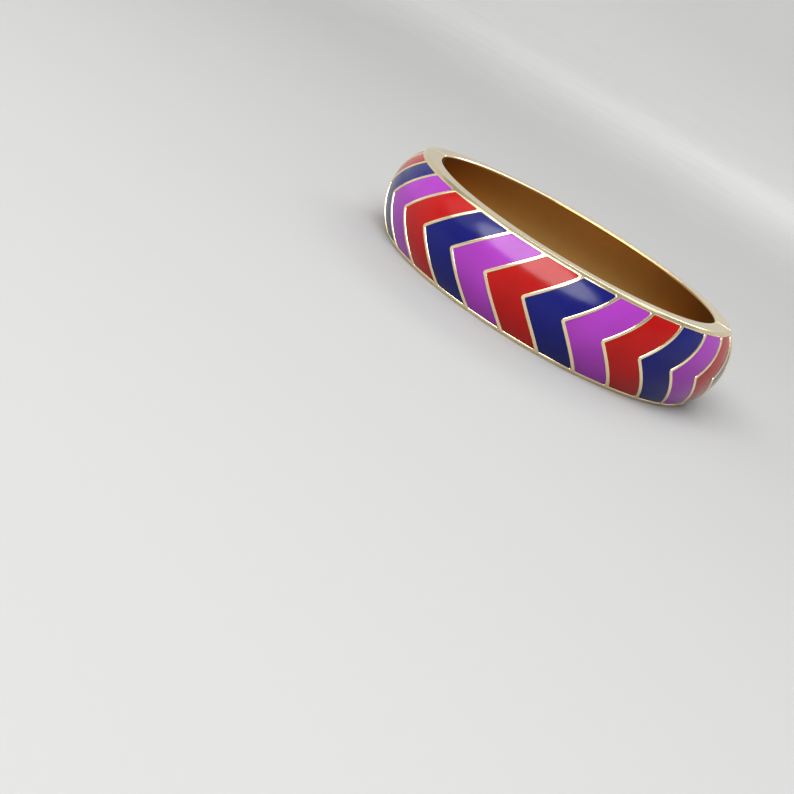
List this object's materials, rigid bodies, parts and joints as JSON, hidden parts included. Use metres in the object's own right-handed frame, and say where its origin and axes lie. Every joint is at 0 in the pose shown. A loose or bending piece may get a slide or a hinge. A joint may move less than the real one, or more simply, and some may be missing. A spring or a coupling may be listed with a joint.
{
  "type": "hinged enamel bangle",
  "caption": "Hinged oval bangle: hollow domed gold-coloured metal with raised chevron lines and red, navy and purple enamel between them.",
  "frame": {"origin": "centre of the wrist hole, on the plane of the rim nearer the hand, which the bangle rests on", "axes": "+Z along the wrist from the hand-side rim to the arm-side rim, +X from the hinge to the clasp, -Y towards the middle of the front half"},
  "size_m": [0.0722, 0.0686, 0.016],
  "materials": {
    "gold_metal": "polished pale gold plate, finely brushed on the inside",
    "clasp_steel": "fine satin spring steel",
    "red_enamel": "opaque, very glossy enamel",
    "navy_enamel": "opaque, very glossy enamel",
    "purple_enamel": "opaque, very glossy enamel"
  },
  "bodies": {
    "front": {"front_shell": "gold_metal", "hinge_pin": "clasp_steel", "front_enamel_00_low": "purple_enamel", "front_enamel_00_high": "purple_enamel", "front_enamel_01": "red_enamel", "front_enamel_02": "navy_enamel", "front_enamel_03": "purple_enamel", "front_enamel_04": "red_enamel", "front_enamel_05": "navy_enamel", "front_enamel_06": "purple_enamel", "front_enamel_07": "red_enamel", "front_enamel_08": "navy_enamel", "front_enamel_09": "purple_enamel", "front_enamel_10": "red_enamel", "front_enamel_11": "navy_enamel", "front_enamel_12": "purple_enamel", "front_enamel_13": "red_enamel", "front_enamel_14": "navy_enamel"},
    "back": {"back_shell": "gold_metal", "clasp_tongue": "clasp_steel", "back_enamel_00": "purple_enamel", "back_enamel_01": "red_enamel", "back_enamel_02": "navy_enamel", "back_enamel_03": "purple_enamel", "back_enamel_04": "red_enamel", "back_enamel_05": "navy_enamel", "back_enamel_06": "purple_enamel", "back_enamel_07": "red_enamel", "back_enamel_08": "navy_enamel", "back_enamel_09": "purple_enamel", "back_enamel_10": "red_enamel", "back_enamel_11": "navy_enamel", "back_enamel_12": "purple_enamel", "back_enamel_13": "red_enamel", "back_enamel_14": "navy_enamel"}
  },
  "joints": [
    {"name": "hinge", "type": "hinge", "parent": "front", "child": "back", "pos_m": [-0.0347, 0, 0.008], "axis": [0, 0, 1], "range_deg": [0, 60]}
  ]
}
